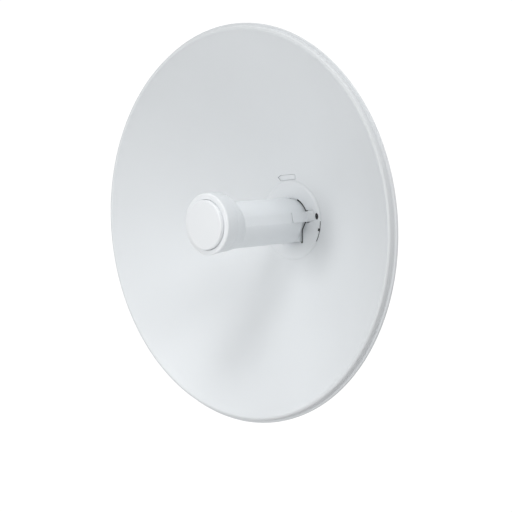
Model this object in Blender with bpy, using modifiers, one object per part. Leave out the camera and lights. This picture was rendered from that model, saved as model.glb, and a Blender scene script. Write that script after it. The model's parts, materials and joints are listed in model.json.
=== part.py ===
# Parabolic dish antenna of a point-to-point radio link: reflector, feed, rear housing and pole mount.
# Metres, +Z up. The dish looks along -Y. The origin is the centre of the flat rear face of the pole
# bracket's web, which is the face that looks at the pole.

import math

import bmesh
import bpy
from mathutils import Matrix, Vector

# Clearance kept between two pieces that touch
FIT = 0.0003

# Reflector: one pressed sheet. R is a radius from the dish axis, T a distance forward of the rim plane
RIM_R = 0.260
RIM_PLANE_Y = -0.185
SHEET = 0.0012
CREST_R = 0.252
CREST_T = 0.007
BOWL_DEPTH = 0.1084
BOWL_R = 0.2490
STEP_R = 0.2562
HEM_DEPTH = 0.0050
HOLE_R = 0.0519
DISH_STEPS = 72
BOWL_RINGS = 9

# Hub disc, which closes the hole of the reflector from the front
HUB_R = 0.0534
HUB_FACE_T = -0.0950
HUB_EDGE_T = -0.0961
HUB_NECK_R = 0.0515
HUB_BOTTOM_T = -0.1120
RELEASE_HOLE_X = 0.0474
RELEASE_HOLE_Z = 0.0023
RELEASE_HOLE_HALF = (0.0030, 0.0045)

# Feed barrel with the keyed tail that plugs into the hub
BARREL_R = 0.0304
BARREL_FRONT_T = 0.0217
TAIL_T = -0.087
TAIL_R = 0.0292
TAIL_SHOULDER = (0.0184, -0.0132)
TAIL_KEY = (0.0163, -0.0298)
SEAM = 0.0024
SEAM_DEPTH = 0.0020
FACET_R = 0.0297
FACET_TURN = math.radians(5.5)

# Release latches, one on each side of the barrel
LATCH_FRONT_T = -0.066
LATCH_HALF_HEIGHT = 0.0070
LATCH_THICK = 0.0016
LATCH_REACH = 0.0430

# Cap with the sub-reflector, 3 to 5 mm above the barrel's own axis. The drum widens towards its front
CAP_RISE = 0.0052
CAP_R = 0.0385
CAP_FRONT_RISE = 0.0039
CAP_FRONT_R = 0.0398
CAP_RING_T = 0.0618
CAP_BACK_T = 0.0420
FACE_RISE = 0.0033
FACE_R = 0.0320
FACE_T = 0.0665
FACE_BACK_T = 0.0590
SHOULDER_BACK_T = 0.0220

# Alignment key above the hub, in a slot of the sheet
KEY_CENTRE = 0.0580
KEY_DEPTH = 0.0045
KEY_POINTS = ((-0.0168, 0.0010), (-0.0105, 0.0036), (0.0143, 0.0031), (0.0137, -0.0037), (-0.0125, -0.0035))

# Rear housing, its port bay and the gland under it
HOUSING_R = 0.068
HOUSING_BACK_R = 0.062
HOUSING_BACK_T = -0.138
BAY_HALF_X = 0.022
BAY_FRONT_Y = -0.087
BAY_BACK_Y = -0.053
BAY_BOTTOM_Z = -0.073
COVER_BOTTOM_Z = -0.090
GLAND_R = 0.009
GLAND_LENGTH = 0.012

# Steel brackets
STEEL = 0.0025
WEB_STEEL = 0.0030
CHEEK_INNER_X = 0.0235
PLATE_HALF = 0.046
CHEEK_REAR_Y = -0.011
CHEEK_HALF_Z = 0.032
CHEEK_CORNER = 0.008
PIVOT_Y = -0.027
PIVOT_Z = 0.021
LOCK_Z = -0.021
ARC_SWING = math.radians(10)
EAR_FRONT_Y = -0.0365
EAR_HALF_Z = 0.031
EAR_TAPER = (0.0035, 0.0175)
WEB_HALF_X = 0.052
WEB_HALF_Z = 0.036
JAW_HALF_X = 0.030
JAW_REACH = 0.024
JAW_STEEL = 0.0030
NOTCH_APEX_Y = 0.0020
CLAMP_FRONT_Y = 0.0577
CLAMP_HALF_Z = 0.021

# Fasteners: M6 in the housing, M8 everywhere else
HUB_BOLT_AT = 0.036
HUB_BOLT_DEPTH = 0.012
CLAMP_BOLT_X = 0.040
CLAMP_BOLT_END_Y = 0.0725
M6_R = 0.0030
M8_R = 0.0040
HOLE_PLAY = 0.0005

COLLECTION_NAME = "parabolic_dish_antenna"


def clear_scene():
    for old in list(bpy.data.objects):
        bpy.data.objects.remove(old, do_unlink=True)


def new_collection(name):
    collection = bpy.data.collections.new(name)
    bpy.context.scene.collection.children.link(collection)
    return collection


def plain_material(name, colour, roughness, metallic=0.0):
    mat = bpy.data.materials.new(name)
    mat.use_nodes = True
    shader = mat.node_tree.nodes["Principled BSDF"]
    shader.inputs["Base Color"].default_value = (*colour, 1.0)
    shader.inputs["Roughness"].default_value = roughness
    shader.inputs["Metallic"].default_value = metallic
    return mat


clear_scene()
PARTS = new_collection(COLLECTION_NAME)
CUTTERS = new_collection("cutters")

WHITE_PAINT = plain_material("white_paint", (0.72, 0.74, 0.75), 0.45)
WHITE_PLASTIC = plain_material("white_plastic", (0.80, 0.82, 0.83), 0.40)
CAP_PLASTIC = plain_material("cap_plastic", (0.88, 0.89, 0.90), 0.30)
BLACK_RUBBER = plain_material("black_rubber", (0.02, 0.02, 0.02), 0.80)
ZINC_STEEL = plain_material("zinc_steel", (0.55, 0.56, 0.57), 0.38, 1.0)
BRIGHT_STEEL = plain_material("bright_steel", (0.62, 0.62, 0.61), 0.28, 1.0)

# The dish axis: local X is world X, local Y is world Z and local Z is forward, away from the pole
AXIS = bpy.data.objects.new("dish_axis", None)
AXIS.rotation_euler = (math.radians(90), 0.0, 0.0)
AXIS.location = (0.0, RIM_PLANE_Y, 0.0)
PARTS.objects.link(AXIS)


def place(name, mesh, mat, parent=None):
    """A finished piece: a named object in the parts collection."""
    mesh.name = name
    mesh.materials.clear()
    mesh.materials.append(mat)
    mesh.shade_smooth()
    mesh.set_sharp_from_angle(angle=math.radians(35))
    piece = bpy.data.objects.new(name, mesh)
    piece.parent = parent
    PARTS.objects.link(piece)
    return piece


def tool(name, mesh, parent=None):
    """A cutter: drawn as wire and left out of renders."""
    cutter = bpy.data.objects.new(name, mesh)
    cutter.parent = parent
    cutter.display_type = "WIRE"
    cutter.hide_render = True
    CUTTERS.objects.link(cutter)
    return cutter


def combine(piece, other, operation):
    boolean = piece.modifiers.new(other.name, "BOOLEAN")
    boolean.solver = "EXACT"
    boolean.operation = operation
    boolean.object = other


def cut(piece, *cutters):
    for cutter in cutters:
        combine(piece, cutter, "DIFFERENCE")


def box_mesh(low, high):
    mesh = bpy.data.meshes.new("box")
    bm = bmesh.new()
    bmesh.ops.create_cube(bm, size=1.0)
    size = Vector(high) - Vector(low)
    middle = (Vector(high) + Vector(low)) / 2
    bmesh.ops.scale(bm, vec=size, verts=bm.verts)
    bmesh.ops.translate(bm, vec=middle, verts=bm.verts)
    bm.to_mesh(mesh)
    bm.free()
    return mesh


def rod_mesh(radius, start, end, segments=16, phase=0.0):
    """A cylinder between two points."""
    start, end = Vector(start), Vector(end)
    along = end - start
    mesh = bpy.data.meshes.new("rod")
    bm = bmesh.new()
    bmesh.ops.create_cone(
        bm, cap_ends=True, segments=segments, radius1=radius, radius2=radius, depth=along.length
    )
    bmesh.ops.rotate(bm, matrix=Matrix.Rotation(phase, 3, "Z"), verts=bm.verts)
    bmesh.ops.rotate(bm, matrix=along.to_track_quat("Z", "Y").to_matrix(), verts=bm.verts)
    bmesh.ops.translate(bm, vec=(start + end) / 2, verts=bm.verts)
    bm.to_mesh(mesh)
    bm.free()
    return mesh


def profile_mesh(points, closed):
    mesh = bpy.data.meshes.new("profile")
    edges = [(i, i + 1) for i in range(len(points) - 1)]
    if closed:
        edges.append((len(points) - 1, 0))
    mesh.from_pydata([(r, 0.0, t) for r, t in points], edges, [])
    return mesh


def turned(name, points, mat, steps, closed=False, parent=AXIS):
    """A piece turned about local Z. The profile runs down its outer side."""
    piece = place(name, profile_mesh(points, closed), mat, parent)
    screw = piece.modifiers.new("Turn", "SCREW")
    screw.axis = "Z"
    screw.angle = math.radians(360)
    screw.steps = steps
    screw.render_steps = steps
    screw.use_merge_vertices = True
    screw.merge_threshold = 0.00001
    return piece


def outline_mesh(loops, low, high):
    """A flat outline between two heights. The first loop is the outside, any more are holes."""
    curve = bpy.data.curves.new("outline", "CURVE")
    curve.dimensions = "2D"
    curve.fill_mode = "BOTH"
    curve.extrude = (high - low) / 2
    for loop in loops:
        spline = curve.splines.new("POLY")
        spline.points.add(len(loop) - 1)
        for point, (x, y) in zip(spline.points, loop):
            point.co = (x, y, 0.0, 1.0)
        spline.use_cyclic_u = True
    drawn = bpy.data.objects.new("outline", curve)
    bpy.context.scene.collection.objects.link(drawn)
    graph = bpy.context.evaluated_depsgraph_get()
    mesh = bpy.data.meshes.new_from_object(drawn.evaluated_get(graph))
    bpy.data.objects.remove(drawn)
    bpy.data.curves.remove(curve)
    bm = bmesh.new()
    bm.from_mesh(mesh)
    bmesh.ops.remove_doubles(bm, verts=bm.verts, dist=0.000001)
    bmesh.ops.recalc_face_normals(bm, faces=bm.faces)
    bmesh.ops.translate(bm, vec=(0.0, 0.0, (high + low) / 2), verts=bm.verts)
    bm.to_mesh(mesh)
    bm.free()
    return mesh


def arc(radius, start, end, count, centre=(0.0, 0.0)):
    """Points on an arc, angles in degrees from +X."""
    points = []
    for i in range(count):
        angle = math.radians(start + (end - start) * i / (count - 1))
        points.append((centre[0] + radius * math.cos(angle), centre[1] + radius * math.sin(angle)))
    return points


def bowl_t(radius):
    """Front face of the paraboloid at a radius."""
    return CREST_T - BOWL_DEPTH * (1 - (radius / CREST_R) ** 2)


def bowl_slope(radius):
    return 2 * BOWL_DEPTH * radius / CREST_R**2


def behind_sheet(radius):
    """A point just clear of the back of the sheet."""
    return bowl_t(radius) - SHEET * math.hypot(1.0, bowl_slope(radius)) - FIT


def key_outline(side, tip):
    """The key's outline grown by side all round, and by tip at its pointed and square ends."""
    grown = []
    for x, y in KEY_POINTS:
        reach = tip if abs(x) > 0.0132 else side
        grown.append((x + math.copysign(reach, x), y + math.copysign(side, y)))
    return grown


def key_frame():
    """The key lies in the slope of the bowl above the hub."""
    middle = Matrix.Translation((0.0, KEY_CENTRE, bowl_t(KEY_CENTRE)))
    return middle @ Matrix.Rotation(math.atan(bowl_slope(KEY_CENTRE)), 4, "X")


def build_reflector():
    rings = [HOLE_R + (BOWL_R - HOLE_R) * i / BOWL_RINGS for i in range(BOWL_RINGS + 1)]
    bowl = [(r, bowl_t(r)) for r in rings]
    # The crest rolls over, steps back to a narrow flange and ends in a turned-back hem
    rim = [
        (CREST_R - 0.0008, CREST_T - 0.0005),
        (CREST_R + 0.0018, CREST_T - 0.0002),
        (CREST_R + 0.0036, CREST_T - 0.0020),
        (STEP_R, 0.0004),
        (RIM_R - 0.0010, 0.0),
        (RIM_R, -0.0010),
        (RIM_R, -HEM_DEPTH),
    ]
    dish = turned("reflector", bowl + rim, WHITE_PAINT, DISH_STEPS)
    sheet = dish.modifiers.new("Sheet", "SOLIDIFY")
    sheet.thickness = SHEET
    sheet.offset = -1.0
    sheet.use_even_offset = True
    slot = tool("key_slot", outline_mesh([key_outline(0.0004, 0.0012)], -0.006, 0.006), AXIS)
    slot.matrix_local = key_frame()
    cut(dish, slot)


def build_alignment_key():
    key = place("alignment_key", outline_mesh([key_outline(0.0, 0.0)], -KEY_DEPTH, 0.0), WHITE_PLASTIC, AXIS)
    key.matrix_local = key_frame()


def tail_outline(grow):
    """The keyed section of the tail, grown by an even amount. Round above, square-footed below."""
    round_part = arc(TAIL_R + grow, 2, 178, 33)
    left = [
        (-TAIL_SHOULDER[0] - grow, TAIL_SHOULDER[1] - grow * 0.32),
        (-TAIL_KEY[0] - grow, TAIL_KEY[1] - grow),
    ]
    right = [(-x, y) for x, y in reversed(left)]
    return round_part + left + right


def side_frame(side):
    """Turned so that local X points out of the facet on one side of the barrel."""
    turn = FACET_TURN if side > 0 else math.radians(180) - FACET_TURN
    return Matrix.Rotation(turn, 4, "Z")


def build_feed_barrel():
    body = rod_mesh(BARREL_R, (0, 0, TAIL_T), (0, 0, BARREL_FRONT_T), 48)
    barrel = place("feed_barrel", body, WHITE_PLASTIC, AXIS)
    tail = tool("keyed_tail", outline_mesh([tail_outline(0.0)], HUB_BOTTOM_T + FIT, TAIL_T + 0.002), AXIS)
    combine(barrel, tail, "UNION")
    for side in (1, -1):
        facet = tool("facet", box_mesh((FACET_R, -0.02, -0.13), (0.06, 0.02, 0.03)), AXIS)
        facet.matrix_local = side_frame(side)
        cut(barrel, facet)


def build_hub_disc():
    points = [
        (0.0, HUB_FACE_T),
        (HUB_R - 0.0006, HUB_FACE_T),
        (HUB_R, HUB_FACE_T - 0.0005),
        (HUB_R, HUB_EDGE_T),
        (HUB_NECK_R, bowl_t(HUB_NECK_R) + 2 * FIT),
        (HUB_NECK_R, HUB_BOTTOM_T),
        (0.0, HUB_BOTTOM_T),
    ]
    hub = turned("hub_disc", points, WHITE_PLASTIC, 48)
    opening = tool("feed_opening", outline_mesh([tail_outline(SEAM)], -0.13, -0.08), AXIS)
    cut(hub, opening)
    for side in (1, -1):
        slot_low = (0.029, -LATCH_HALF_HEIGHT - FIT, HUB_FACE_T - SEAM_DEPTH)
        slot_high = (LATCH_REACH + FIT, LATCH_HALF_HEIGHT + FIT, HUB_FACE_T + 0.01)
        slot = tool("latch_slot", box_mesh(slot_low, slot_high), AXIS)
        slot.matrix_local = side_frame(side)
        hole_outline = [
            (side * RELEASE_HOLE_X + RELEASE_HOLE_HALF[0] * x, RELEASE_HOLE_Z + RELEASE_HOLE_HALF[1] * y)
            for x, y in arc(1.0, 0, 345, 24)
        ]
        hole = tool("release_hole", outline_mesh([hole_outline], HUB_FACE_T - 0.012, -0.08), AXIS)
        cut(hub, slot, hole)


def build_hub_gasket():
    loops = [tail_outline(SEAM - FIT), tail_outline(FIT)]
    top = HUB_FACE_T - SEAM_DEPTH - 2 * FIT
    place("hub_gasket", outline_mesh(loops, HUB_BOTTOM_T + FIT, top), BLACK_RUBBER, AXIS)


def build_release_latches():
    inner = FACET_R + FIT
    outer = inner + LATCH_THICK
    foot_low = HUB_FACE_T - SEAM_DEPTH + FIT
    foot_high = HUB_FACE_T + FIT
    # An L: the strip along the barrel, and the foot that lies in the hub's slot
    elbow = [
        (inner, foot_low),
        (LATCH_REACH, foot_low),
        (LATCH_REACH, foot_high),
        (outer, foot_high),
        (outer, LATCH_FRONT_T),
        (inner, LATCH_FRONT_T),
    ]
    for name, side in (("release_latch_right", 1), ("release_latch_left", -1)):
        mesh = outline_mesh([elbow], -LATCH_HALF_HEIGHT, LATCH_HALF_HEIGHT)
        latch = place(name, mesh, WHITE_PLASTIC, AXIS)
        latch.matrix_local = side_frame(side) @ Matrix.Rotation(math.radians(90), 4, "X")


def build_cap():
    edge = 0.0012
    rings = [
        (CAP_R, CAP_RISE, CAP_BACK_T + FIT),
        (CAP_FRONT_R, CAP_FRONT_RISE, CAP_RING_T - edge),
        (CAP_FRONT_R - edge, CAP_FRONT_RISE, CAP_RING_T),
    ]
    drum = place("cap_drum", loft_mesh(rings, 48), CAP_PLASTIC, AXIS)
    seat_back = (0.0, FACE_RISE, FACE_BACK_T - FIT)
    seat_front = (0.0, FACE_RISE, CAP_RING_T + 0.01)
    cut(drum, tool("face_seat", rod_mesh(FACE_R + FIT, seat_back, seat_front, 48), AXIS))
    face_points = [
        (0.0, FACE_T),
        (FACE_R - edge, FACE_T),
        (FACE_R, FACE_T - edge),
        (FACE_R, FACE_BACK_T),
        (0.0, FACE_BACK_T),
    ]
    face = turned("cap_face", face_points, CAP_PLASTIC, 48)
    face.location = (0.0, FACE_RISE, 0.0)
    shoulder = loft_mesh(shoulder_rings(), 48)
    place("cap_shoulder", shoulder, CAP_PLASTIC, AXIS)


def shoulder_rings():
    """Circles from the barrel's end to the cap's back, each as radius, rise and T."""
    length = CAP_BACK_T - SHOULDER_BACK_T
    rings = []
    for share in (0.0, 0.25, 0.5, 0.75, 1.0):
        swell = math.sin(math.radians(90) * share)
        rings.append(
            (
                BARREL_R + (CAP_R - BARREL_R) * swell,
                CAP_RISE * swell,
                SHOULDER_BACK_T + length * share,
            )
        )
    return rings


def loft_mesh(rings, segments):
    """A closed body through circles that don't share a centre."""
    mesh = bpy.data.meshes.new("loft")
    bm = bmesh.new()
    loops = []
    for radius, rise, height in rings:
        loop = []
        for i in range(segments):
            angle = 2 * math.pi * i / segments
            loop.append(bm.verts.new((radius * math.cos(angle), rise + radius * math.sin(angle), height)))
        loops.append(loop)
    for lower, upper in zip(loops, loops[1:]):
        for i in range(segments):
            j = (i + 1) % segments
            bm.faces.new((lower[i], lower[j], upper[j], upper[i]))
    bm.faces.new(reversed(loops[0]))
    bm.faces.new(loops[-1])
    bm.to_mesh(mesh)
    bm.free()
    return mesh


def build_rear_housing():
    seat_r = HUB_NECK_R + 2 * FIT
    seat = [(r, behind_sheet(r)) for r in (seat_r, 0.056, 0.060, 0.064, HOUSING_R)]
    points = [
        (0.0, HUB_BOTTOM_T - FIT),
        (seat_r, HUB_BOTTOM_T - FIT),
        *seat,
        (HOUSING_R, -0.124),
        (HOUSING_R - 0.002, -0.131),
        (HOUSING_BACK_R, HOUSING_BACK_T),
        (0.0, HOUSING_BACK_T),
    ]
    housing = turned("rear_housing", points, WHITE_PLASTIC, 48)
    pocket = tool("key_pocket", outline_mesh([key_outline(FIT, FIT)], -KEY_DEPTH - FIT, 0.01), AXIS)
    pocket.matrix_local = key_frame()
    bay_low = (-BAY_HALF_X, BAY_FRONT_Y, BAY_BOTTOM_Z)
    bay_high = (BAY_HALF_X, BAY_BACK_Y, -(HOUSING_R + HUB_NECK_R) / 2)
    bay = tool("port_bay", box_mesh(bay_low, bay_high))
    combine(housing, bay, "UNION")
    cut(housing, pocket)
    back_y = RIM_PLANE_Y - HOUSING_BACK_T
    for x, z in hub_bolt_places():
        start = (x, back_y - HUB_BOLT_DEPTH - 0.001, z)
        end = (x, back_y + 0.01, z)
        cut(housing, tool("bolt_hole", rod_mesh(M6_R + HOLE_PLAY, start, end)))


def build_port_cover():
    low = (-BAY_HALF_X, BAY_FRONT_Y, COVER_BOTTOM_Z)
    high = (BAY_HALF_X, BAY_BACK_Y, BAY_BOTTOM_Z - FIT)
    cover = place("port_cover", box_mesh(low, high), WHITE_PLASTIC)
    edges = cover.modifiers.new("Edges", "BEVEL")
    edges.width = 0.003
    edges.segments = 2
    middle_y = (BAY_FRONT_Y + BAY_BACK_Y) / 2
    top = (0.0, middle_y, COVER_BOTTOM_Z - FIT)
    bottom = (0.0, middle_y, COVER_BOTTOM_Z - FIT - GLAND_LENGTH)
    place("cable_gland", rod_mesh(GLAND_R, top, bottom, 20), BLACK_RUBBER)


def hub_bolt_places():
    return [(x, z) for z in (HUB_BOLT_AT, -HUB_BOLT_AT) for x in (-HUB_BOLT_AT, HUB_BOLT_AT)]


def side_tool(name, outline, x_low, x_high):
    """A shape drawn from the side, in world Y and Z, between two X."""
    shape = tool(name, outline_mesh([outline], x_low, x_high))
    # Local X of the outline becomes world Y, local Y world Z and its thickness runs along world X
    shape.matrix_world = Matrix(((0, 0, 1, 0), (1, 0, 0, 0), (0, 1, 0, 0), (0, 0, 0, 1)))
    return shape


def build_dish_bracket():
    """A plate on the housing's back, with two cheeks that run back to the pole bracket."""
    front_y = RIM_PLANE_Y - HOUSING_BACK_T + FIT
    back_y = front_y + WEB_STEEL
    root_y = back_y - WEB_STEEL / 2
    plate = box_mesh((-PLATE_HALF, front_y, -PLATE_HALF), (PLATE_HALF, back_y, PLATE_HALF))
    bracket = place("dish_bracket", plate, ZINC_STEEL)
    # The rear corners are cut off, so the dish can tilt without touching the web
    cheek = [
        (root_y, -CHEEK_HALF_Z),
        (CHEEK_REAR_Y - CHEEK_CORNER, -CHEEK_HALF_Z),
        (CHEEK_REAR_Y, CHEEK_CORNER - CHEEK_HALF_Z),
        (CHEEK_REAR_Y, CHEEK_HALF_Z - CHEEK_CORNER),
        (CHEEK_REAR_Y - CHEEK_CORNER, CHEEK_HALF_Z),
        (root_y, CHEEK_HALF_Z),
    ]
    for side in (1, -1):
        x_low, x_high = sorted((side * CHEEK_INNER_X, side * (CHEEK_INNER_X + STEEL)))
        combine(bracket, side_tool("cheek", cheek, x_low, x_high), "UNION")
    for x, z in hub_bolt_places():
        hole = rod_mesh(M6_R + HOLE_PLAY, (x, front_y - 0.01, z), (x, back_y + 0.01, z))
        cut(bracket, tool("bolt_hole", hole))
    across = 0.05
    hole = rod_mesh(M8_R + HOLE_PLAY, (-across, PIVOT_Y, PIVOT_Z), (across, PIVOT_Y, PIVOT_Z))
    cut(bracket, tool("pivot_hole", hole), side_tool("elevation_slot", arc_slot_outline(), -across, across))


def arc_slot_outline():
    """The curved slot around the pivot that the lock bolt runs in."""
    centre = (PIVOT_Y, PIVOT_Z)
    reach = PIVOT_Z - LOCK_Z
    half = M8_R + HOLE_PLAY
    swing = math.degrees(ARC_SWING)
    outer = arc(reach + half, -90 - swing, -90 + swing, 9, centre)
    inner = arc(reach - half, -90 + swing, -90 - swing, 9, centre)
    right_end = arc(half, swing - 90 + 30, swing - 90 + 150, 4, slot_end(1))
    left_end = arc(half, -swing - 90 + 210, -swing - 90 + 330, 4, slot_end(-1))
    return outer + right_end + inner + left_end


def slot_end(side):
    angle = math.radians(-90) + side * ARC_SWING
    reach = PIVOT_Z - LOCK_Z
    return (PIVOT_Y + reach * math.cos(angle), PIVOT_Z + reach * math.sin(angle))


def jaw_outline(back_y, tip_y, apex_y):
    """A jaw plate seen from above, with its V notch open towards the pole."""
    way = 1 if tip_y > back_y else -1
    mouth = abs(tip_y - apex_y)
    flat = 0.0035
    return [
        (-JAW_HALF_X, back_y),
        (-JAW_HALF_X, tip_y),
        (-mouth, tip_y),
        (-flat, apex_y + way * flat),
        (flat, apex_y + way * flat),
        (mouth, tip_y),
        (JAW_HALF_X, tip_y),
        (JAW_HALF_X, back_y),
    ]


def add_jaws(bracket, back_y, tip_y, apex_y, half_z):
    for side in (1, -1):
        z_low, z_high = sorted((side * half_z, side * (half_z - JAW_STEEL)))
        jaw = tool("jaw", outline_mesh([jaw_outline(back_y, tip_y, apex_y)], z_low, z_high))
        combine(bracket, jaw, "UNION")


def add_bolt_holes(bracket, y):
    for x in (-CLAMP_BOLT_X, CLAMP_BOLT_X):
        cut(bracket, tool("bolt_hole", rod_mesh(M8_R + HOLE_PLAY, (x, y - 0.02, 0), (x, y + 0.02, 0))))


def build_pole_bracket():
    low = (-WEB_HALF_X, -WEB_STEEL, -WEB_HALF_Z)
    bracket = place("pole_bracket", box_mesh(low, (WEB_HALF_X, 0.0, WEB_HALF_Z)), ZINC_STEEL)
    ear_x = CHEEK_INNER_X + STEEL + FIT
    # Tapered low down, where the dish bracket's plate comes closer as the dish tilts
    ear = [
        (-WEB_STEEL / 2, -EAR_HALF_Z),
        (-WEB_STEEL / 2, EAR_HALF_Z),
        (EAR_FRONT_Y, EAR_HALF_Z),
        (EAR_FRONT_Y, EAR_TAPER[1] - EAR_HALF_Z),
        (EAR_FRONT_Y + EAR_TAPER[0], -EAR_HALF_Z),
    ]
    for side in (1, -1):
        x_low, x_high = sorted((side * ear_x, side * (ear_x + STEEL)))
        combine(bracket, side_tool("ear", ear, x_low, x_high), "UNION")
    add_jaws(bracket, -WEB_STEEL / 2, JAW_REACH, NOTCH_APEX_Y, WEB_HALF_Z - 0.0005)
    across = 0.05
    for z in (PIVOT_Z, LOCK_Z):
        cut(bracket, tool("pivot_hole", rod_mesh(M8_R + HOLE_PLAY, (-across, PIVOT_Y, z), (across, PIVOT_Y, z))))
    add_bolt_holes(bracket, 0.0)


def build_pole_clamp():
    low = (-WEB_HALF_X, CLAMP_FRONT_Y, -CLAMP_HALF_Z)
    high = (WEB_HALF_X, CLAMP_FRONT_Y + WEB_STEEL, CLAMP_HALF_Z)
    clamp = place("pole_clamp", box_mesh(low, high), ZINC_STEEL)
    back_y = CLAMP_FRONT_Y + WEB_STEEL / 2
    add_jaws(clamp, back_y, CLAMP_FRONT_Y - 0.021, CLAMP_FRONT_Y + 0.001, CLAMP_HALF_Z - 0.0005)
    add_bolt_holes(clamp, CLAMP_FRONT_Y)


def hex_bolt(name, radius, seat, tip, mat):
    """A flanged hex bolt: seat is where its flange bears, tip is the end of its shank."""
    seat, tip = Vector(seat), Vector(tip)
    out = (seat - tip).normalized()
    flange_top = seat + out * 0.0016
    bolt = place(name, rod_mesh(radius, tip, flange_top, 16), mat)
    combine(bolt, tool("flange", rod_mesh(radius * 2.1, seat, flange_top, 20)), "UNION")
    hexagon = rod_mesh(radius * 1.85, seat + out * 0.0008, flange_top + out * radius * 1.25, 6)
    combine(bolt, tool("hexagon", hexagon), "UNION")


def hex_nut(name, radius, near, far, mat):
    """A plain nut on the axis from near to far, clear of its bolt."""
    near, far = Vector(near), Vector(far)
    hole_r = (radius + FIT) / math.cos(math.radians(30))
    width = (far - near).length
    points = [(radius * 1.9, width), (radius * 1.9, 0.0), (hole_r, 0.0), (hole_r, width)]
    nut = turned(name, points, mat, 6, closed=True, parent=None)
    nut.rotation_euler = (far - near).to_track_quat("Z", "Y").to_euler()
    nut.location = near


def build_hub_bolts():
    seat_y = RIM_PLANE_Y - HOUSING_BACK_T + WEB_STEEL + 2 * FIT
    tip_y = RIM_PLANE_Y - HOUSING_BACK_T - HUB_BOLT_DEPTH
    for number, (x, z) in enumerate(hub_bolt_places(), start=1):
        hex_bolt(f"hub_bolt_{number}", M6_R, (x, seat_y, z), (x, tip_y, z), BRIGHT_STEEL)


def build_elevation_bolts():
    head_x = CHEEK_INNER_X + 2 * STEEL + 2 * FIT
    nut_x = CHEEK_INNER_X - FIT
    for kind, z in (("pivot", PIVOT_Z), ("lock", LOCK_Z)):
        for side_name, side in (("right", 1), ("left", -1)):
            seat = (side * head_x, PIVOT_Y, z)
            tip = (side * (nut_x - 0.0085), PIVOT_Y, z)
            hex_bolt(f"{kind}_bolt_{side_name}", M8_R, seat, tip, BRIGHT_STEEL)
            near = (side * nut_x, PIVOT_Y, z)
            far = (side * (nut_x - 0.0065), PIVOT_Y, z)
            hex_nut(f"{kind}_nut_{side_name}", M8_R, near, far, BRIGHT_STEEL)


def build_clamp_bolts():
    clamp_back_y = CLAMP_FRONT_Y + WEB_STEEL
    for side_name, side in (("right", 1), ("left", -1)):
        x = side * CLAMP_BOLT_X
        head_seat = -WEB_STEEL - FIT
        # Carriage bolt: a shallow round head in front of the web, the shank past both plates
        points = [
            (0.0, -head_seat + 0.0045),
            (0.0045, -head_seat + 0.0040),
            (0.0078, -head_seat + 0.0022),
            (0.0090, -head_seat + 0.0004),
            (0.0090, -head_seat),
            (M8_R, -head_seat),
            (M8_R, -CLAMP_BOLT_END_Y + 0.0006),
            (M8_R - 0.0006, -CLAMP_BOLT_END_Y),
            (0.0, -CLAMP_BOLT_END_Y),
        ]
        bolt = turned(f"clamp_bolt_{side_name}", points, BRIGHT_STEEL, 16, parent=None)
        bolt.rotation_euler = (math.radians(90), 0.0, 0.0)
        bolt.location = (x, 0.0, 0.0)
        washer_r, washer_hole = 0.0085, M8_R + FIT
        washer_low, washer_high = clamp_back_y + FIT, clamp_back_y + FIT + 0.0016
        ring = [
            (washer_r, -washer_low),
            (washer_r, -washer_high),
            (washer_hole, -washer_high),
            (washer_hole, -washer_low),
        ]
        washer = turned(f"clamp_washer_{side_name}", ring, BRIGHT_STEEL, 20, closed=True, parent=None)
        washer.rotation_euler = (math.radians(90), 0.0, 0.0)
        washer.location = (x, 0.0, 0.0)
        near = (x, washer_high + FIT, 0.0)
        far = (x, washer_high + FIT + 0.0068, 0.0)
        hex_nut(f"clamp_nut_{side_name}", M8_R, near, far, BRIGHT_STEEL)


build_reflector()
build_alignment_key()
build_hub_disc()
build_hub_gasket()
build_feed_barrel()
build_release_latches()
build_cap()
build_rear_housing()
build_port_cover()
build_dish_bracket()
build_hub_bolts()
build_pole_bracket()
build_elevation_bolts()
build_pole_clamp()
build_clamp_bolts()
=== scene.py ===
# %% [markdown]
# # A parabolic dish antenna, dressed for its portrait
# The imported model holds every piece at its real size. This lesson loads that frame, sets the camera where
# the photographer stood, lights it like a product shot on white, and then makes each piece again with the
# roundings, seams and finishes of the real antenna.

# %% Load the frame
import bpy
import bmesh
import json
import math
from mathutils import Matrix, Vector


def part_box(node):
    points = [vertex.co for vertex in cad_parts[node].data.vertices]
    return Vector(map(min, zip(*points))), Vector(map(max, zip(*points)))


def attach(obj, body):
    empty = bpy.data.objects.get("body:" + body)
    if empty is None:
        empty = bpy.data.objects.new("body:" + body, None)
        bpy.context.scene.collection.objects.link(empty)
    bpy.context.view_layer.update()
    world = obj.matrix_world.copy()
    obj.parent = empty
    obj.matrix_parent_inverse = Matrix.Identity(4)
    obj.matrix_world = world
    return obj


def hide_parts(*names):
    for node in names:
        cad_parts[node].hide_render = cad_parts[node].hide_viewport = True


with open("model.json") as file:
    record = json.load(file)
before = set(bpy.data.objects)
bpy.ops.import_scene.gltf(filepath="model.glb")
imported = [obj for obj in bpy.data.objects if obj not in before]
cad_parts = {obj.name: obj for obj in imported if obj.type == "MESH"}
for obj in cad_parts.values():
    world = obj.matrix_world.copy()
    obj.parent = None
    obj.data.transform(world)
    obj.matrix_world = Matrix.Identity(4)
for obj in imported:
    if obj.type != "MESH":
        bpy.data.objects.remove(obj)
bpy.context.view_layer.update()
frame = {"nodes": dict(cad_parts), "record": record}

# %% [markdown]
# ## The dish axis
# Nearly everything seen from the front is turned about one line. Two measures place such a shape: a radius
# from that line, and how far forward of the rim's plane it lies. The dish looks along -Y, so forward means
# a smaller Y. One matrix carries local X, local Y (up) and local Z (forward) into the world.

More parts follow.
